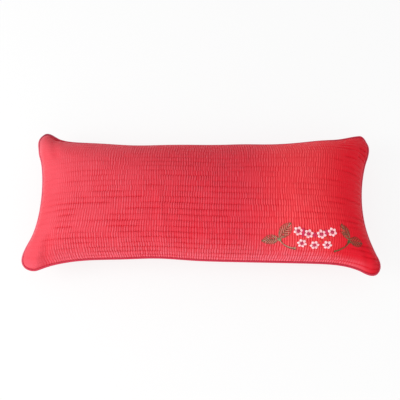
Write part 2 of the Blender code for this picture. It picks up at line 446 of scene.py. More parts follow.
def evenly_spread(steps, half_width, height, powers):
    """Where evenly spaced lines of the flat cloth come to lie, once it is bent over this rounding."""
    position, way = bent_steps(half_width, height, powers)
    walked = np.concatenate([[0.0], np.cumsum(way)])
    return np.interp((steps + 1) / 2 * walked[-1], walked, position)


def flat_half_width(shape):
    """Half the panel's width when it lies flat: half the way over the crown in the middle of the pillow."""
    half_width = seam_line(shape, "front", np.zeros(1))[0]
    return bent_steps(half_width, shape.crown, SIDE_ROUNDING)[1].sum() / 2


def outline_point(shape, along, across):
    """The x and y of places on the panel, both given from -1 to 1, before the outline is centred."""
    right, back = along > 0, across > 0
    end_x = np.where(right, seam_line(shape, "right", across), seam_line(shape, "left", across))
    side_y = np.where(back, seam_line(shape, "back", along), seam_line(shape, "front", along))
    round_x, round_y = np.moveaxis(EAR_ROUNDING[right.astype(int), back.astype(int)], -1, 0)
    from_end, from_side = end_x * (1 - np.abs(along)), side_y * (1 - np.abs(across))
    a = np.clip(1 - from_end / round_x, 0, 1)
    b = np.clip(1 - from_side / round_y, 0, 1)
    in_ear = (a > 0) & (b > 0)
    from_end = np.where(in_ear, round_x * (1 - a * np.sqrt(1 - b * b / 2)), from_end)
    from_side = np.where(in_ear, round_y * (1 - b * np.sqrt(1 - a * a / 2)), from_side)
    return np.sign(along) * (end_x - from_end), np.sign(across) * (side_y - from_side)


def outline_middle(shape):
    """The middle of the outline, which the solid has over the origin."""
    step = np.linspace(-1, 1, BEND_SAMPLES)
    ends, steps = np.repeat([1.0, -1.0], BEND_SAMPLES), np.tile(step, 2)
    xs, _ = outline_point(shape, ends, steps)
    _, ys = outline_point(shape, steps, ends)
    return (xs.min() + xs.max()) / 2, (ys.min() + ys.max()) / 2


def smooth_cloth(shape, along_steps, across_steps, face):
    """The panel's points before any quilting, by column and row, where the flat cloth's lines come to lie."""
    depth = shape.crown if face > 0 else shape.belly
    bent = evenly_spread(along_steps, shape.length / 2, depth, END_ROUNDING)
    halves = seam_line(shape, "front", along_steps)
    across = np.array([
        evenly_spread(across_steps, half, depth * end_height, SIDE_ROUNDING)
        for half, end_height in zip(halves, rounding(bent, END_ROUNDING))
    ])
    flat, bent = along_steps[:, None], bent[:, None]
    along = bent + (flat - bent) * np.abs(across) ** STRAIGHTENING
    x, y = outline_point(shape, along, across)
    middle = outline_middle(shape)
    x, y = x - middle[0], y - middle[1]
    near_end, near_side = DROOP_POWERS
    droop = EAR_DROOP * np.abs(along) ** near_end * np.abs(across) ** near_side
    height = rounding(across, SIDE_ROUNDING) * rounding(along, END_ROUNDING)
    z = shape.seam_height - droop + face * height * depth * START_FULLNESS
    if face > 0:
        for one in SWELLS:
            z += height * one.rise * np.exp(-((x - one.x) ** 2 + (y - one.y) ** 2) / one.spread**2)
    return np.stack([x, y, z], axis=-1)


def lower_indices(seam, first):
    """The lower panel's points in the mesh: along the seam the upper panel's, and else its own, from first on."""
    indices = seam.copy()
    inner = indices[1:-1, 1:-1]
    inner[:] = first + np.arange(inner.size).reshape(inner.shape)
    return indices


def grid_faces(grid):
    """The corners of every face between the points of a grid."""
    return np.stack([grid[:-1, :-1], grid[1:, :-1], grid[1:, 1:], grid[:-1, 1:]], axis=-1).reshape(-1, 4)


def closed_cover(shape):
    """The smooth cover on the simulation's lines as one closed mesh: its points, its faces and the points held still.

    The upper panel's points come first, by column and row, then those inside the seam of the lower one."""
    lines = [np.linspace(-1, 1, count) for count in SETTLING_LINES]
    upper, lower = smooth_cloth(shape, *lines, 1), smooth_cloth(shape, *lines, -1)
    lower[..., 2] = np.maximum(lower[..., 2], 0.0)
    over = np.arange(math.prod(SETTLING_LINES)).reshape(SETTLING_LINES)
    faces = np.concatenate([grid_faces(over), grid_faces(lower_indices(over, over.size))[:, ::-1]])
    points = np.concatenate([upper.reshape(-1, 3), lower[1:-1, 1:-1].reshape(-1, 3)])
    resting = np.nonzero(points[:, 2] < HELD_HEIGHT)[0]
    return points, faces, np.unique(np.concatenate([over[0], over[-1], over[:, 0], over[:, -1], resting]))


def linked(name, data):
    """A new object in the scene."""
    made = bpy.data.objects.new(name, data)
    bpy.context.scene.collection.objects.link(made)
    return made


def filled(points, faces, held):
    """Where a closed cover's points come to lie under the pressure inside it, with these points held still."""
    scene = bpy.context.scene
    mesh = bpy.data.meshes.new("cover_to_fill")
    mesh.from_pydata(points.tolist(), [], faces.tolist())
    cover = linked("cover_to_fill", mesh)
    cover.vertex_groups.new(name="held").add(held.tolist(), 1.0, "REPLACE")
    cloth = cover.modifiers.new("Cloth", "CLOTH")
    cloth.settings.vertex_group_mass = "held"
    cloth.settings.use_pressure = True
    cloth.settings.uniform_pressure_force = PRESSURE
    cloth.settings.effector_weights.gravity = 0
    cloth.point_cache.frame_start, cloth.point_cache.frame_end = 1, SETTLING_FRAMES
    for frame in range(1, SETTLING_FRAMES + 1):
        scene.frame_set(frame)
    full = cover.evaluated_get(bpy.context.evaluated_depsgraph_get()).to_mesh()
    places = np.empty(points.size, np.float32)
    full.vertices.foreach_get("co", places)
    bpy.data.objects.remove(cover)
    bpy.data.meshes.remove(mesh)
    scene.frame_set(1)
    return places.reshape(-1, 3).astype(float)


def settled_moves(shape):
    """How far the pressure of the filling moves each panel's coarse lines, by cloth simulation: upper, then lower."""
    key = tuple(getattr(shape, name) for name in shape.__annotations__)
    if key not in SETTLED:
        points, faces, held = closed_cover(shape)
        moves = np.zeros_like(points)
        moves = filled(points, faces, held) - points
        distance = np.maximum(np.linalg.norm(moves, axis=1, keepdims=True), 1e-9)
        moves = moves * np.minimum(FURTHEST_MOVE / distance, 1)
        count = math.prod(SETTLING_LINES)
        upper, lower = np.zeros((2, *SETTLING_LINES, 3))
        inner = lower[1:-1, 1:-1]
        upper[:], inner[:] = moves[:count].reshape(upper.shape), moves[count:].reshape(inner.shape)
        SETTLED[key] = upper, lower
    return SETTLED[key]


def spline_weights(count, places):
    """Weights that carry values on evenly spaced lines over to other places from -1 to 1 as one smooth curve."""
    apart = np.abs((places[:, None] + 1) / 2 * (count - 1) - np.arange(count))
    weights = np.where(apart < 1, 2 / 3 - apart**2 + apart**3 / 2, np.maximum(2 - apart, 0) ** 3 / 6)
    return weights / weights.sum(axis=1, keepdims=True)


def unit(vectors):
    return vectors / np.maximum(np.linalg.norm(vectors, axis=-1, keepdims=True), 1e-12)


def eased(value, start, full):
    """0 before start, 1 beyond full and smooth between, whichever of the two is the larger."""
    t = np.clip((value - start) / (full - start), 0, 1)
    return t * t * (3 - 2 * t)


def inside(region, along, across, ease=eased):
    """A region's share wherever it applies, and 0 outside."""
    sides = (along, region.along), (across, region.across)
    masks = [ease(value, *edge) for value, edges in sides for edge in zip(edges[::2], edges[1::2])]
    return math.prod(masks, start=region.share)


def mixed(grid, i, j, part_i, part_j):
    """What a grid has between its point i, j and the next ones, this far on towards them."""
    near = grid[i, j] * (1 - part_i) + grid[i + 1, j] * part_i
    far = grid[i, j + 1] * (1 - part_i) + grid[i + 1, j + 1] * part_i
    return near * (1 - part_j) + far * part_j


def soft_noise(seed, u, v, size_u, size_v):
    """Smooth noise from -1 to 1 over the flat cloth, in blobs of about this size."""
    u, v = u / size_u, v / size_v
    u, v = u - np.floor(u.min() - EDGE_MARGIN), v - np.floor(v.min() - EDGE_MARGIN)
    shape = (int(u.max() + EDGE_MARGIN) + 2, int(v.max() + EDGE_MARGIN) + 2)
    lattice = np.random.default_rng(seed).uniform(-1, 1, shape)
    i, j = u.astype(int), v.astype(int)
    return mixed(lattice, i, j, eased(u - i, 0, 1), eased(v - j, 0, 1))


def cells_at_lines(cells, lines):
    """For each of the mesh's lines, the two cells that it lies in: twice the same one, but where two meet."""
    line = np.arange(cells * lines + 1)
    after = np.minimum(line // lines, cells - 1)
    before = np.where(line % lines == 0, np.maximum(line // lines - 1, 0), after)
    return before, after


def channel_shifts(seed, places, size, channels, lines):
    """How far each of a channel's lines is shifted along it, from -1 to 1, by an amount of that channel's own."""
    knots = np.random.default_rng(seed).uniform(-1, 1, (int((places[-1] - places[0]) / size) + 3, channels))
    step = (places - places[0]) / size
    low, part = step.astype(int), eased(step % 1, 0, 1)[:, None]
    shift = knots[low] * (1 - part) + knots[low + 1] * part
    before, after = cells_at_lines(channels, lines)
    return (shift[:, before] + shift[:, after]) / 2


def pleat_strengths(seed, pleats, channels, lines):
    """How strong each pleat is in each channel, at the mesh's lines."""
    strength = np.random.default_rng(seed).uniform(WEAKEST_PLEAT, STRONGEST_PLEAT, (pleats, channels))
    along = [strength[cells] for cells in cells_at_lines(pleats, lines)]
    return sum(one[:, cells] for one in along for cells in cells_at_lines(channels, lines)) / 4


def creased(u, v):
    """How far the creases sink the upper panel at these places of the flat cloth."""
    sunk = np.zeros_like(u)
    for one in CREASES:
        run = np.array([one.to_x - one.x, one.to_y - one.y])
        t = ((u - one.x) * run[0] + (v - one.y) * run[1]) / (run @ run)
        aside = ((u - one.x) * run[1] - (v - one.y) * run[0]) / np.linalg.norm(run)
        beyond = np.maximum(np.abs(t - 0.5) - 0.5, 0) * np.linalg.norm(run)
        sunk += one.depth * np.exp(-((aside / one.width) ** 2) - (beyond / one.width) ** 2)
    return sunk


def set_in(fade, place, near, ease=eased):
    """How far something has set in at a place, with this share of the fade's changes."""
    return ease(place, fade.start + fade.start_change * near, fade.full + fade.full_change * near)


def at_least(least, share):
    """least where the share is 0, and 1 where it is 1."""
    return least + (1 - least) * share


class Panel:
    """One quilted panel over the filling: its points by column and row, and where they lie in the flat cloth."""

    def __init__(self, shape, face):
        step, self.seed = (1, UPPER_SEED) if face > 0 else (LOWER_STEP, LOWER_SEED)
        heights = LINE_HEIGHTS[::step]
        rows = np.arange(shape.channels)[:, None] + np.array(CHANNEL_LINES[::step])
        across = np.append(rows.ravel(), shape.channels) / shape.channels * 2 - 1
        along = np.linspace(-1, 1, len(heights) * shape.pleats + 1)
        half_length, half_width = shape.length / 2, flat_half_width(shape)
        self.columns, self.rows = along * half_length, across * half_width
        self.stitched_rows = self.rows[::len(heights)][1:-1]
        self.u, self.v = u, v = np.meshgrid(self.columns, self.rows, indexing="ij")
        pleat = np.append(np.tile(heights, shape.pleats), 0.0)[:, None] + 0 * v
        puff = np.append(np.tile(heights, shape.channels), 0.0) + 0 * u

        points = smooth_cloth(shape, along, across, face)
        moves = settled_moves(shape)[0 if face > 0 else 1]
        moves = np.tensordot(spline_weights(moves.shape[0], along), moves, axes=1)
        points = points + np.einsum("ark,br->abk", moves, spline_weights(moves.shape[1], across))
        tangent_u, tangent_v = self.slopes(points)
        normals = unit(np.cross(tangent_u, tangent_v)) * face

        from_left, from_right = half_length + u, half_length - u
        from_front, from_back = half_width + v, half_width - v
        from_end = np.minimum(from_left, from_right)
        from_seam = np.minimum(from_end, np.minimum(from_front, from_back))
        off_seam = eased(from_seam, 0.0, SEAM_MARGIN)

        cells = shape.channels, len(heights)
        self.wander_u, self.wander_v = (off_seam * way for way in self.wander(cells))
        points = points + tangent_u * self.wander_u[..., None] + tangent_v * self.wander_v[..., None]

        # Pleats die out towards the ends, and last of all at the front
        ends = set_in(LEFT_PLEATS, from_left, np.exp(-from_front / FRONT_REACH))
        ends = ends * set_in(RIGHT_PLEATS, from_right, np.exp(-from_back / BACK_REACH))
        strength = ends * self.strength(shape.pleats, cells)
        fold = (pleat - PLEAT_LEVEL) * strength * np.where(puff > 0, 1.0, STITCHED_PLEAT)

        taut = self.tightness(2 * half_width / shape.channels * STRETCH_WIDTH, from_left)
        sunk = (1 - puff) * taut * (VALLEY_SINK - pleat * ends)

        crease = creased(u, v) if face > 0 else 0 * u
        lumps = LUMPS * self.noise(8, 0.017, 0.014) * eased(from_end, 0.01, 0.04)
        pucker = PUCKER * self.noise(9, 0.0075, 0.0075) * np.exp(-from_seam / PUCKER_REACH)
        rise = WADDING + shape.pleat_height * fold - shape.channel_height * sunk + lumps + pucker - crease
        self.points = points + normals * (off_seam * rise)[..., None]
        self.points[..., 2] = np.maximum(self.points[..., 2], 0.0)
        self.cloth = np.stack([u, v], axis=-1)

        # How much of the colour of the pleats' tops a place has, against that of the valleys: painted highlight on
        # the tops, and painted shade in the valleys, the stitched rows, the creases and along the seam
        vivid = PLEAT_TONE + inside(VIVID_PLEATS, u, v)
        self.relief = MIDDLE_TONE + vivid * fold - ROW_TONE * sunk - CREASE_TONE * np.maximum(crease, 0)
        # Painted shade along the seam, all round but the left end
        at_seam = eased(from_seam, 0.0018, -0.0006) * eased(from_left, 0.004, 0.030)
        self.relief = np.clip(self.relief, 0, 1) * (1 - at_seam)
        self.normals = unit(0.5 * unit(np.cross(*self.slopes(self.points))) * face + normals)

    def wander(self, cells):
        """How far the pleats wander, each channel's apart from the next one's, and the stitched rows a little."""
        lean = channel_shifts(self.seed + 1, self.columns, LEAN_LENGTH, *cells)
        stray = channel_shifts(self.seed + 2, self.columns, STRAY_LENGTH, *cells)
        loose = at_least(0.35, eased(self.noise(10, 0.035, 0.025), -0.4, 0.6))
        pleats = LEAN * loose * lean + STRAY * stray + WAVE * self.noise(3, 0.030, 0.030)
        return pleats, ROW_WANDER * self.noise(4, 0.040, 0.020)

    def strength(self, pleats, cells):
        """How strong the pleats are. They gather at the front seam, and come and go."""
        middle, by_u, by_v, least = PLEAT_DRIFT
        drift = np.clip(middle + by_u * self.u + by_v * self.v, least, 1.0)
        drift = drift + PLEAT_CHANGE * self.noise(5, 0.045, 0.035)
        flatter = sum(inside(one, self.u, self.v) for one in FLATTER_PLEATS)
        return drift * (1 - flatter) * pleat_strengths(self.seed + 6, pleats, *cells)

    def tightness(self, stretch, from_left):
        """How tight each row is drawn: in short stretches, which pin the pleats' valleys down, and slack between."""
        u, v = self.u, self.v
        taut = eased(self.noise(7, 0.024, stretch) + inside(BUSY_ROWS, u, v), -0.45, 0.75)
        taut = taut * (1 - inside(CALM_ROWS, u, v)) * at_least(0.8, self.noise(11, 0.008, stretch))
        taut = SLACKEST + taut * (TAUT + inside(TIGHTER_ROWS, u, v))
        for slack in SLACK_ROWS:
            taut = taut * (1 - inside(slack, u, v))
        return taut * at_least(SLACK_AT_END, set_in(LEFT_ROWS, from_left, inside(EARLY_ROWS, u, v)))

    def noise(self, number, size_u, size_v):
        """The panel's noise of this number, in blobs of this size along and across."""
        return soft_noise(self.seed + number, self.u, self.v, size_u, size_v)

    def slopes(self, points):
        """How points by column and row change along and across the flat cloth."""
        return np.gradient(points, self.columns, axis=0), np.gradient(points, self.rows, axis=1)

    def mix(self, field, i, j):
        """The field between its columns and rows, at these fractional ones."""
        low_i = np.clip(i.astype(int), 0, len(self.columns) - 2)
        low_j = np.clip(j.astype(int), 0, len(self.rows) - 2)
        part_i, part_j = i - low_i, j - low_j
        if field.ndim == 3:
            part_i, part_j = part_i[..., None], part_j[..., None]
        return mixed(field, low_i, low_j, part_i, part_j)

    def at(self, u, v):
        """The points and outward directions at these places of the flat cloth."""
        u_line, v_line = u, v
        for _ in range(WANDER_ROUNDS):
            i = np.interp(u_line, self.columns, np.arange(len(self.columns)))
            j = np.interp(v_line, self.rows, np.arange(len(self.rows)))
            u_line, v_line = u - self.mix(self.wander_u, i, j), v - self.mix(self.wander_v, i, j)
        return self.mix(self.points, i, j), unit(self.mix(self.normals, i, j))


def pillow_mesh(shape):
    """The two panels as one closed mesh that shares the seam, with the flat cloth's places as its UV map."""
    upper, lower = Panel(shape, 1), Panel(shape, -1)
    over = np.arange(upper.relief.size).reshape(upper.relief.shape)
    under = lower_indices(over[::LOWER_STEP, ::LOWER_STEP], over.size)
    faces = grid_faces(over).tolist()
    upper_faces = len(faces)
    faces += [lower_face(over, under, i, j) for i, j in np.ndindex(under.shape[0] - 1, under.shape[1] - 1)]

    def whole(field):
        """A field of both panels as one list of values or points, in the order of the mesh's points."""
        first, second = getattr(upper, field), getattr(lower, field)[1:-1, 1:-1]
        return np.concatenate([one.reshape(-1, *one.shape[2:]) for one in (first, second)])

    mesh = bpy.data.meshes.new("filled_cover")
    mesh.from_pydata(whole("points").tolist(), [], faces)
    relief = mesh.attributes.new("relief", "FLOAT", "POINT")
    relief.data.foreach_set("value", whole("relief").astype(np.float32))
    vertex = np.empty(len(mesh.loops), np.int32)
    mesh.loops.foreach_get("vertex_index", vertex)
    places = whole("cloth")[vertex]
    places[mesh.polygons[upper_faces].loop_start:, 1] += LOWER_MAP_SHIFT * shape.width
    mesh.uv_layers.new(name="cloth").data.foreach_set("uv", places.astype(np.float32).ravel())
    mesh.shade_smooth()
    return mesh


def lower_face(over, under, i, j):
    """One face of the lower panel. At the seam it takes in the upper panel's points between its own."""
    between_i, between_j = LOWER_STEP * i + 1, LOWER_STEP * j + 1
    last_i, last_j = under.shape[0] - 2, under.shape[1] - 2
    corners = (
        (under[i, j], i == 0, (0, between_j)),
        (under[i, j + 1], j == last_j, (between_i, -1)),
        (under[i + 1, j + 1], i == last_i, (-1, between_j)),
        (under[i + 1, j], j == 0, (between_i, 0)),
    )
    face = []
    for corner, at_seam, between in corners:
        face += [int(corner), int(over[between])] if at_seam else [int(corner)]
    return face


def deselect_all():
    for thing in bpy.context.selected_objects:
        thing.select_set(False)


def make_stitch(sides, stations):
    """One stitch of thread as a mesh, from 0 to 1 along Z, with a radius of 1. Stations are (place, radius)."""
    deselect_all()
    at, width = stations[0]
    bpy.ops.mesh.primitive_circle_add(vertices=sides, radius=width, fill_type="NGON", location=(0, 0, 0))
    stitch = bpy.context.object
    bpy.ops.object.mode_set(mode="EDIT")
    bpy.ops.mesh.select_all(action="SELECT")
    for place, radius in stations[1:]:
        bpy.ops.mesh.extrude_region_move(TRANSFORM_OT_translate={"value": (0, 0, place - at)})
        scale = radius / width
        bpy.ops.transform.resize(value=(scale, scale, 1), center_override=(0, 0, place))
        at, width = place, radius
    bpy.ops.mesh.select_all(action="SELECT")
    bpy.ops.mesh.normals_make_consistent(inside=False)
    bpy.ops.object.mode_set(mode="OBJECT")
    mesh = stitch.data
    bpy.data.objects.remove(stitch)
    return mesh


def in_order(stitch):
    """A stitch's points, from its start to its end and round it, and its faces, always in the same order."""
    points = np.array([vertex.co for vertex in stitch.vertices])
    order = np.lexsort((np.arctan2(points[:, 1], points[:, 0]).round(4), points[:, 2].round(4)))
    new_index = np.argsort(order).tolist()
    faces = [[new_index[index] for index in face.vertices] for face in stitch.polygons]
    firsts = [face.index(min(face)) for face in faces]
    return points[order], sorted(face[first:] + face[:first] for face, first in zip(faces, firsts))


def bow(start, middle, end, t):
    """The curve through three places, at t from 0 to 1."""
    return start * (1 - t) * (1 - 2 * t) + 4 * middle * t * (1 - t) + end * t * (2 * t - 1)


def lay_stitches(name, stitch, panel, starts, ends, radius, arch=0.0):
    """Copies a stitch between each start and end, given in the flat cloth, bent over the panel with its own arch.

    Its UV map has the way along the thread and the way round it."""
    shape, sides = in_order(stitch)
    starts, ends = np.atleast_2d(starts), np.atleast_2d(ends)
    low, low_up = panel.at(*starts.T)
    high, high_up = panel.at(*ends.T)
    middle, middle_up = panel.at(*((starts + ends) / 2).T)
    reach = np.linalg.norm(high - low, axis=1)
    up = unit(low_up + high_up + 2 * middle_up)
    raised = np.maximum(((middle - (low + high) / 2) * up).sum(axis=1), 0) + arch * reach
    middle = (low + high) / 2 + up * raised[:, None]
    aside = unit(np.cross(up, high - low))
    along = shape[:, 2]
    line = bow(low[:, None], middle[:, None], high[:, None], along[:, None])
    round_it = shape[None, :, :1] * aside[:, None, :] + (shape[None, :, 1:2] + THREAD_LIFT) * up[:, None, :]
    points = (line + radius * round_it).reshape(-1, 3)
    points[:, 2] = np.maximum(points[:, 2], LOWEST_THREAD)

    faces = [[index + len(shape) * k for index in side] for k in range(len(reach)) for side in sides]
    mesh = bpy.data.meshes.new(name)
    mesh.from_pydata(points.tolist(), [], faces)
    turn = np.arctan2(shape[:, 1], shape[:, 0]) / math.tau
    places = []
    for side in sides:
        first = turn[side[0]]
        places += [(along[index], (turn[index] - first + 0.5) % 1 - 0.5 + first) for index in side]
    places = np.tile(np.array(places), (len(reach), 1))
    places[:, 0] *= np.repeat(reach, sum(len(side) for side in sides))
    mesh.uv_layers.new(name="thread").data.foreach_set("uv", places.astype(np.float32).ravel())
    mesh.shade_smooth()
    return mesh


def joined(runs):
    """Several runs of stitches as one: all their starts and all their ends."""
    return [np.concatenate(part) for part in zip(*runs)]


def turned(points, degrees):
    angle = math.radians(degrees)
    turn = np.array([[math.cos(angle), math.sin(angle)], [-math.sin(angle), math.cos(angle)]])
    return np.asarray(points) @ turn


def leaning(x, y, to_x, to_y):
    """How far a line from one place to another is turned."""
    return math.degrees(math.atan2(to_y - y, to_x - x))


def petal_stitches(shape):
    """Satin stitches along each petal, which meets its neighbours round the middle and ends in a blunt point."""
    tip = shape.flower_radius
    aside = np.linspace(-0.30, 0.30, 9) * tip
    inner = np.maximum(0.33 * tip, np.abs(aside) / math.tan(math.pi / PETALS))
    outer = tip * (0.62 + 0.38 * np.sqrt(1 - (aside / (0.315 * tip)) ** 2))
    petal = np.stack([inner, aside], axis=1), np.stack([outer, aside * 0.95], axis=1)
    return joined(
        [turned(line, flower.turn + number * 360 / PETALS) + (flower.x, flower.y) for line in petal]
        for flower in FLOWERS
        for number in range(PETALS)
    )


def filled_patch(x, y, turn, reach, width, count=PATCH_STITCHES):
    """Parallel stitches that fill a rounded patch: their starts and ends."""
    offsets = np.linspace(-0.93, 0.93, count)
    half = np.sqrt(1 - offsets**2) * reach / 2
    return [turned(np.stack([side * half, offsets * width / 2], axis=1), turn) + (x, y) for side in (-1, 1)]


def centre_stitches(shape):
    """The flowers' round centres."""
    across = 0.62 * shape.flower_radius
    return joined(filled_patch(one.x, one.y, one.turn + 15, across, across) for one in FLOWERS)


def patch_stitches(patches):
    """Some of the patches between the flowers."""
    return joined(filled_patch(*one) for one in patches)


def leaf_edge(leaf, t, side):
    """A place on the leaf's edge, from 0 at the node to 1 at the tip. side is 1 or -1, or 0 for the vein."""
    axis = np.array([leaf.tip_x - leaf.x, leaf.tip_y - leaf.y])
    aside = np.array([-axis[1], axis[0]]) / np.linalg.norm(axis)
    half = leaf.width / 2 * np.sin(math.pi * t ** (math.log(0.5) / math.log(leaf.widest))) ** LEAF_FULLNESS
    return np.array([leaf.x, leaf.y]) + np.outer(t, axis) + side * np.outer(half, aside)


def run_of_stitches(points, overlap):
    """Stitches end to end along a line of places, each reaching a little into the next."""
    ahead = points[1:] - points[:-1]
    return points[:-1], points[1:] + ahead * overlap


def leaf_edge_stitches():
    """Both edges and the vein of each leaf, in stitches end to end, and its filled tip."""
    t = np.linspace(0.0, 1.0, 13)
    runs = [run_of_stitches(leaf_edge(leaf, t, side), 0.25) for leaf in LEAVES for side in (-1, 0, 1)]
    tips = [(*leaf_edge(leaf, np.array([0.95]), 0)[0], leaning(*leaf[:4])) for leaf in LEAVES]
    return joined(runs + [filled_patch(*tip, 0.0034, 0.0018, 4) for tip in tips])


def leaf_fill_stitches(odd):
    """Open fishbone stitches that slant from each leaf's vein to its edges, every other one of them."""
    runs = []
    for leaf in LEAVES:
        slant = np.linspace(0.02, 0.74, leaf.stitches)[odd::2]
        runs += [(leaf_edge(leaf, slant, 0), leaf_edge(leaf, slant + 0.22, side * 0.93)) for side in (-1, 1)]
    return joined(runs)


def stem_stitches(side):
    """One of the two lines of stitches along each stem, with half of the filled patch at its end."""
    runs = []
    t = np.linspace(0, 1, 12)[:, None]
    for stem in STEMS:
        start, middle, end = np.array(stem[:6]).reshape(3, 2)
        line = bow(start, middle, end, t)
        ahead = np.gradient(line, axis=0)
        aside = unit(np.stack([np.abs(ahead[:, 1]), np.abs(ahead[:, 0])], axis=1) * (np.sign(start - end)[0], 1))
        runs.append(run_of_stitches(line + aside * side * STEM_SPACING * (1.3 - 0.6 * t), 0.5))
        runs.append(filled_patch(stem.end_x, stem.end_y + side * STEM_SPACING, 10, stem.knob, 0.0016, 3))
    return joined(runs)


def node_stitches():
    """Small filled patches where the leaves meet their stem."""
    return joined(filled_patch(stem.x, stem.y, leaning(*stem[:4]), 0.0064, 0.0046, 9) for stem in STEMS)


def quilting_stitches(shape, panel):
    """The running stitches of every quilted row, from seam to seam: their starts and ends."""
    rows = panel.stitched_rows
    pitch = shape.length / shape.pleats
    last = shape.length / 2 - SEAM_MARGIN
    first = np.arange(-last, last - pitch, pitch)
    shift = np.random.default_rng(QUILTING_SEED).uniform(0, 0.4, (len(rows), 1)) * pitch
    starts = np.stack([first + shift, rows[:, None] + 0 * first], axis=-1).reshape(-1, 2)
    return starts, starts + (shape.quilting_stitch, 0)


def in_sums(operation, behind=False):
    """A method that puts a socket in front of this operation's sign, or behind it."""
    if behind:
        return lambda self, other: self.finish.sum(operation, other, self)
    return lambda self, other: self.finish.sum(operation, self, other)


class Value:
    """A shader socket that can be used in sums."""

    def __init__(self, finish, socket):
        self.finish, self.socket = finish, socket

    __add__, __radd__ = in_sums("ADD"), in_sums("ADD", behind=True)
    __sub__, __rsub__ = in_sums("SUBTRACT"), in_sums("SUBTRACT", behind=True)
    __mul__, __rmul__ = in_sums("MULTIPLY"), in_sums("MULTIPLY", behind=True)


def set_all(sockets, values):
    """Sets sockets by name."""
    for name, value in values.items():
        sockets[name].default_value = value


class Finish:
    """A material under construction."""

    def __init__(self, name, roughness, specular, sheen=0.0, sheen_tint=(1, 1, 1)):
        self.material = bpy.data.materials.new(name)
        self.material.use_nodes = True
        self.tree = self.material.node_tree
        self.shader = self.tree.nodes["Principled BSDF"].inputs
        set_all(self.shader, {"Roughness": roughness, "Specular IOR Level": specular, "Sheen Weight": sheen})
        set_all(self.shader, {"Sheen Roughness": SHEEN_ROUGHNESS, "Sheen Tint": opaque(sheen_tint)})

    def set(self, socket, value):
        if isinstance(value, Value):
            self.tree.links.new(value.socket, socket)
        else:
            socket.default_value = value

    def node(self, kind, settings, inputs, output=None):
        """Adds a node: its settings first, then the values or links of its sockets by name or number.

        It gives the output of this name, or else the first one in use."""
        made = self.tree.nodes.new(kind)
        for name, value in settings.items():
            setattr(made, name, value)
        used = {socket.name: socket for socket in made.inputs if socket.enabled}
        for name, value in inputs.items():
            self.set(made.inputs[name] if isinstance(name, int) else used[name], value)
        if output:
            return Value(self, made.outputs[output])
        return Value(self, next(socket for socket in made.outputs if socket.enabled))

    def sum(self, operation, *terms):
        return self.node("ShaderNodeMath", {"operation": operation}, dict(enumerate(terms)))

    def blend(self, amount, low, high):
        """From one colour to the other, each of them a socket or three numbers."""
        low, high = (one if isinstance(one, Value) else opaque(one) for one in (low, high))
        return self.node("ShaderNodeMix", {"data_type": "RGBA"}, {"Factor": amount, "A": low, "B": high})

    def between(self, value, start, full):
        """0 before start, 1 beyond full and smooth between."""
        sockets = {"Value": value, "From Min": start, "From Max": full}
        return self.node("ShaderNodeMapRange", {"interpolation_type": "SMOOTHSTEP"}, sockets)

    def inside(self, region, along, across):
        return inside(region, along, across, self.between)

    def noise(self, place, scale, detail=2.0):
        return self.node("ShaderNodeTexNoise", {}, {"Vector": place, "Scale": scale, "Detail": detail})

    def object_place(self):
        return self.node("ShaderNodeTexCoord", {}, {}, output="Object")

    def parts(self, place):
        """The first two parts of a place."""
        split = self.node("ShaderNodeSeparateXYZ", {}, {"Vector": place}, output="X")
        return split, Value(self, split.socket.node.outputs["Y"])

    def map_place(self, name):
        """The place in a UV map, and its two parts."""
        place = self.node("ShaderNodeUVMap", {"uv_map": name}, {})
        return place, *self.parts(place)

    def colour(self, value):
        self.set(self.shader["Base Color"], value)

    def bump(self, height, strength, distance):
        sockets = {"Height": height, "Strength": strength, "Distance": distance}
        self.set(self.shader["Normal"], self.node("ShaderNodeBump", {}, sockets))

    def twisted(self):
        """Raises a thread's two plies, and gives the way along the thread and the height of its twist."""
        _, along, around = self.map_place("thread")
        twist = self.sum("SINE", along * TWIST + around * (2 * math.tau))
        self.bump(twist, 0.5, 0.00008)
        return along, twist


def opaque(tint):
    return (*tint, 1.0)


def scaled(tint, shares):
    return [part * share for part, share in zip(tint, shares)]


def cotton_with_painted_light(finish, along, across, colours):
    """The cotton's colour on top of its pleats, with light and shade painted in along the pillow, by the ears and in
    a strip of painted sheen along the front, and the one in its valleys."""
    top = colours.cloth_most_sheen
    for name, start, full in DRIFTS:
        top = finish.blend(finish.between(along, start, full), top, getattr(colours, name))
    top = finish.blend(finish.inside(SHADE_BY_EAR, along, across), top, colours.cloth_in_shade)
    # The strip of painted sheen in front narrows towards the right, and there and at the seam it is rosier, as a
    # painted reflection
    strip = set_in(STRIP, across, finish.between(along, *NARROWING), finish.between)
    strip = strip * finish.between(along, *STRIP_END)
    rosy, at_seam = finish.between(along, *ROSY), finish.inside(ROSY_SEAM, along, across)
    edge = finish.blend(rosy + at_seam - rosy * at_seam, colours.cloth_sheen, colours.cloth_rosy_reflection)
    first, second = (finish.inside(shade, along, across) for shade in SHADES)
    top = finish.blend(first + second, finish.blend(strip, top, edge), BLACK)
    return top, finish.blend(finish.between(along, *BRIGHT), colours.cloth_valley, colours.cloth_valley_lit)


def quilted_cotton(colours):
    """The panels' cotton, with faint patches of fading, flecks and its weave."""
    finish = Finish("quilted_cotton", roughness=0.55, specular=0.05, sheen=0.02, sheen_tint=(1.0, 0.8, 0.95))
    cloth, along, across = finish.map_place("cloth")
    relief = finish.node("ShaderNodeAttribute", {"attribute_name": "relief"}, {}, output="Fac")
    fading, flecks = finish.noise(cloth, 22.0, detail=3.0), finish.noise(cloth, 1100.0)
    tone = relief + (fading - 0.5) * 0.30 + (flecks - 0.5) * 0.35
    top, valley = cotton_with_painted_light(finish, along, across, colours)
    finish.colour(finish.blend(finish.node("ShaderNodeClamp", {}, {"Value": tone}), valley, top))
    warp, weft = (finish.sum("SINE", way * WEAVE) for way in (along, across))
    finish.bump(warp * weft + flecks * 1.5, 0.35, 0.00012)
    return finish.material


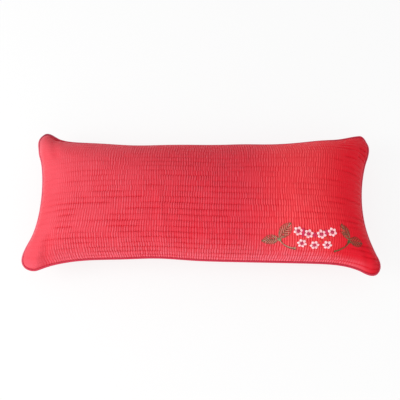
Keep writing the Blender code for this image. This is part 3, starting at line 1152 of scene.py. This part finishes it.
def quilting_cotton(colours):
    """Thread that matches the cloth wherever it is sewn, with the same painted light and shade."""
    finish = Finish("quilting_thread", roughness=0.5, specular=0.15, sheen=0.03)
    top, valley = cotton_with_painted_light(finish, *finish.parts(finish.object_place()), colours)
    finish.colour(finish.blend(0.75, valley, top))
    finish.twisted()
    return finish.material


def piping_cotton(colours):
    """Cotton over the cord, with painted sheen round the left end and painted shade along the left half of the back.
    """
    finish = Finish("piping_cotton", roughness=0.7, specular=0.25, sheen=0.15, sheen_tint=(1.0, 0.5, 0.6))
    place = finish.object_place()
    cord = colours.piping
    for region, tint in ((SHEENED_PIPING, colours.piping_sheen), (SHADED_PIPING, colours.piping_shaded)):
        cord = finish.blend(finish.inside(region, *finish.parts(place)), cord, tint)
    flecks = finish.noise(place, 900.0)
    finish.colour(finish.blend(0.7 + flecks * 0.3, BLACK, cord))
    finish.bump(flecks, 0.4, 0.0002)
    return finish.material


def thread_finish(name, tint, start=None, spread=0.0, changes=()):
    """Thread of two plies: a soft gloss, its twist as a slanting stripe, and small changes from strand to strand.

    start is the colour near each stitch's first end, which fades out over the length spread, and changes are the
    colours further along the pillow, each with where it starts and is full."""
    finish = Finish(name, roughness=0.45, specular=0.3, sheen=0.05)
    along, twist = finish.twisted()
    place = finish.object_place()
    tone = finish.noise(place, 1300.0) + twist * 0.15
    if spread:
        tone = tone + along * (1 / spread) - 0.6
    strand = finish.blend(tone, start or scaled(tint, DARK_STRAND), tint)
    for low, high, further in changes:
        far = finish.blend(tone, scaled(further, DARK_STRAND), further)
        strand = finish.blend(finish.between(finish.parts(place)[0], low, high), strand, far)
    finish.colour(strand)
    return finish.material


def floor_finish(tint, glow):
    finish = Finish("pale_floor", roughness=0.9, specular=0.1)
    lit = {"Base Color": opaque(tint), "Emission Color": opaque(WHITE), "Emission Strength": glow}
    set_all(finish.shader, lit)
    return finish.material


def show(name, mesh, material, slot, *stands_for):
    """Links a finished mesh as a piece of the pillow."""
    made = linked(name, mesh)
    mesh.materials.clear()
    mesh.materials.append(material)
    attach(made, BODY)
    if stands_for:
        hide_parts(*stands_for)
    return made


def cord_mesh(line, radius):
    """A round cord along a closed line of points."""
    curve = bpy.data.curves.new("piping_cord", "CURVE")
    curve.dimensions = "3D"
    curve.bevel_depth = radius
    curve.bevel_resolution = 4
    spline = curve.splines.new("POLY")
    spline.points.add(len(line) - 1)
    for point, place in zip(spline.points, line):
        point.co = (*place, 1.0)
    spline.use_cyclic_u = True
    drawn = linked("piping_path", curve)
    bpy.context.view_layer.update()
    mesh = bpy.data.meshes.new_from_object(drawn.evaluated_get(bpy.context.evaluated_depsgraph_get()))
    bpy.data.objects.remove(drawn)
    mesh.shade_smooth()
    return mesh


class PILLOW_OT_body(bpy.types.Operator):
    """Make the filled body in pleated, channel-quilted cotton"""

    bl_idname = "pillow.body"
    bl_label = "Make Body"

    def execute(self, context):
        mesh = pillow_mesh(context.scene.pillow_shape)
        body = show("filled_cover", mesh, quilted_cotton(context.scene.pillow_colours), "cover", "pillow")
        return {"FINISHED"}


class PILLOW_OT_piping(bpy.types.Operator):
    """Make the piping that runs round the seam"""

    bl_idname = "pillow.piping"
    bl_label = "Make Piping"

    def execute(self, context):
        shape = context.scene.pillow_shape
        points = Panel(shape, 1).points
        line = np.concatenate([points[:-1, 0], points[-1, :-1], points[:0:-1, -1], points[0, :0:-1]])[::2]
        forward = np.roll(line, -1, axis=0) - np.roll(line, 1, axis=0)
        outward = unit(np.stack([forward[:, 1], -forward[:, 0]], axis=1))
        line[:, :2] += outward * (shape.piping_radius * SEWN_OUT)
        mesh = cord_mesh(line, shape.piping_radius)
        show("seam_piping", mesh, piping_cotton(context.scene.pillow_colours), "piping", "piping")
        return {"FINISHED"}


class PILLOW_OT_quilting(bpy.types.Operator):
    """Sew the rows of quilting stitches in both panels"""

    bl_idname = "pillow.quilting"
    bl_label = "Sew Quilting"

    def execute(self, context):
        shape = context.scene.pillow_shape
        stitch = make_stitch(QUILTING_SIDES, QUILTING_STITCH)
        thread = quilting_cotton(context.scene.pillow_colours)
        for name, face in (("quilting_upper", 1), ("quilting_lower", -1)):
            panel = Panel(shape, face)
            mesh = lay_stitches(name, stitch, panel, *quilting_stitches(shape, panel), QUILTING_RADIUS)
            show(name, mesh, thread, "cover")
        bpy.data.meshes.remove(stitch)
        return {"FINISHED"}


class PILLOW_OT_embroidery(bpy.types.Operator):
    """Embroider the flowers, the leaves and the stems"""

    bl_idname = "pillow.embroidery"
    bl_label = "Embroider Spray"

    def execute(self, context):
        shape, colours = context.scene.pillow_shape, context.scene.pillow_colours
        panel = Panel(shape, 1)
        stitch = make_stitch(EMBROIDERY_SIDES, EMBROIDERY_STITCH)
        parts = (
            ("petals", petal_stitches(shape), "petal_thread", 0.00028, 0.14),
            ("flower_centres", centre_stitches(shape), "centre_thread", 0.00027, 0.16),
            ("flower_patches", patch_stitches(PATCHES), "centre_thread", 0.00028, 0.06),
            ("small_patches", patch_stitches(SMALL_PATCHES), "centre_thread", 0.00028, 0.06),
            ("leaf_edges", leaf_edge_stitches(), "leaf_thread", 0.00032, 0.03),
            ("leaf_fills", leaf_fill_stitches(0), "leaf_thread", 0.00034, 0.03),
            ("leaf_shades", leaf_fill_stitches(1), "leaf_thread", 0.00030, 0.03),
            ("stems", stem_stitches(1), "leaf_thread", 0.00063, 0.06),
            ("stem_shades", stem_stitches(-1), "leaf_thread", 0.00063, 0.06),
            ("leaf_nodes", node_stitches(), "leaf_thread", 0.00032, 0.08),
        )
        for name, (starts, ends), slot, radius, arch in parts:
            mesh = lay_stitches(name, stitch, panel, starts, ends, radius, arch)
            show(name, mesh, self.thread(name, slot, colours), slot)
        bpy.data.meshes.remove(stitch)
        return {"FINISHED"}

    def thread(self, name, slot, colours):
        """The thread of one piece: the petals' is deeper at their bases, and the leaves' changes to the right."""
        tint = getattr(colours, name)
        if slot == "petal_thread":
            return thread_finish(slot, tint, start=colours.petal_bases, spread=BASE_LENGTH)
        if slot == "centre_thread":
            return thread_finish(name, tint)
        share = colours.deep_stems if name in ("stems", "stem_shades", "leaf_nodes") else colours.deep_leaves
        right = scaled(tint, share)
        changes = (*DEEP_THREAD, right), (*LAST_THREAD, scaled(right, colours.last_leaf))
        return thread_finish(name, tint, changes=changes)


class PILLOW_OT_stage(bpy.types.Operator):
    """Set the floor, the light and the camera"""

    bl_idname = "pillow.stage"
    bl_label = "Set Stage"

    def execute(self, context):
        scene, stage = context.scene, context.scene.pillow_stage
        scene.view_settings.view_transform = "Standard"
        deselect_all()
        bpy.ops.mesh.primitive_plane_add(size=FLOOR_SIZE, location=(0, 0, FLOOR_LEVEL))
        floor = context.object
        floor.name = "floor"
        floor.data.materials.append(floor_finish(scene.pillow_colours.floor, stage.floor_glow))
        floor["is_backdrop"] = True
        world = bpy.data.worlds.new("even_light")
        world.use_nodes = True
        even = {"Color": opaque(WHITE), "Strength": stage.room}
        set_all(world.node_tree.nodes["Background"].inputs, even)
        scene.world = world
        aim = Vector((0, 0, scene.pillow_shape.seam_height))
        for name, place, across in LAMPS:
            lamp = bpy.data.lights.new(name, "AREA")
            lamp.size = across
            lamp.energy = getattr(stage, name + "_power")
            made = linked(name, lamp)
            made.location = place
            made.rotation_euler = (aim - Vector(place)).to_track_quat("-Z", "Y").to_euler()
        self.set_camera(scene, stage, aim)
        return {"FINISHED"}

    def set_camera(self, scene, stage, aim):
        lens = bpy.data.cameras.new("camera")
        lens.lens, lens.sensor_width = stage.lens, SENSOR_WIDTH
        camera = linked("camera", lens)
        back = Vector((0, -math.cos(stage.elevation), math.sin(stage.elevation)))
        up = Vector((0, math.sin(stage.elevation), math.cos(stage.elevation)))
        aim = aim - Vector((AIM_LEFT, 0, 0)) - up * AIM_DOWN
        turn = back.to_track_quat("Z", "Y").to_matrix() @ Matrix.Rotation(stage.roll, 3, "Z")
        camera.matrix_world = Matrix.Translation(aim + back * stage.distance) @ turn.to_4x4()
        scene.camera = camera


class PILLOW_PT_panel(bpy.types.Panel):
    """The pillow's steps and settings, in the sidebar of the 3D view"""

    bl_label = "Pillow"
    bl_idname = "PILLOW_PT_panel"
    bl_space_type = "VIEW_3D"
    bl_region_type = "UI"
    bl_category = "Pillow"

    def draw(self, context):
        for step in STEPS:
            self.layout.operator(step)
        for group in SETTINGS:
            settings = getattr(context.scene, group)
            for name in settings.__annotations__:
                self.layout.prop(settings, name)


STEPS = ("pillow.body", "pillow.piping", "pillow.quilting", "pillow.embroidery", "pillow.stage")
SETTINGS = {"pillow_shape": PillowShape, "pillow_colours": PillowColours, "pillow_stage": PillowStage}
CLASSES = (
    *SETTINGS.values(),
    PILLOW_OT_body,
    PILLOW_OT_piping,
    PILLOW_OT_quilting,
    PILLOW_OT_embroidery,
    PILLOW_OT_stage,
    PILLOW_PT_panel,
)


def register():
    for one in CLASSES:
        bpy.utils.register_class(one)
    for name, group in SETTINGS.items():
        setattr(bpy.types.Scene, name, bpy.props.PointerProperty(type=group))


def unregister():
    for name in SETTINGS:
        delattr(bpy.types.Scene, name)
    for one in reversed(CLASSES):
        bpy.utils.unregister_class(one)


def corners(box):
    return [[float(part) for part in corner] for corner in box]


def main():
    register()
    for step in STEPS:
        group, name = step.split(".")
        getattr(getattr(bpy.ops, group), name)()
    sizes = {"cad": corners(CAD_BOX), "visual": corners(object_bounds())}


if __name__ == "__main__":
    main()
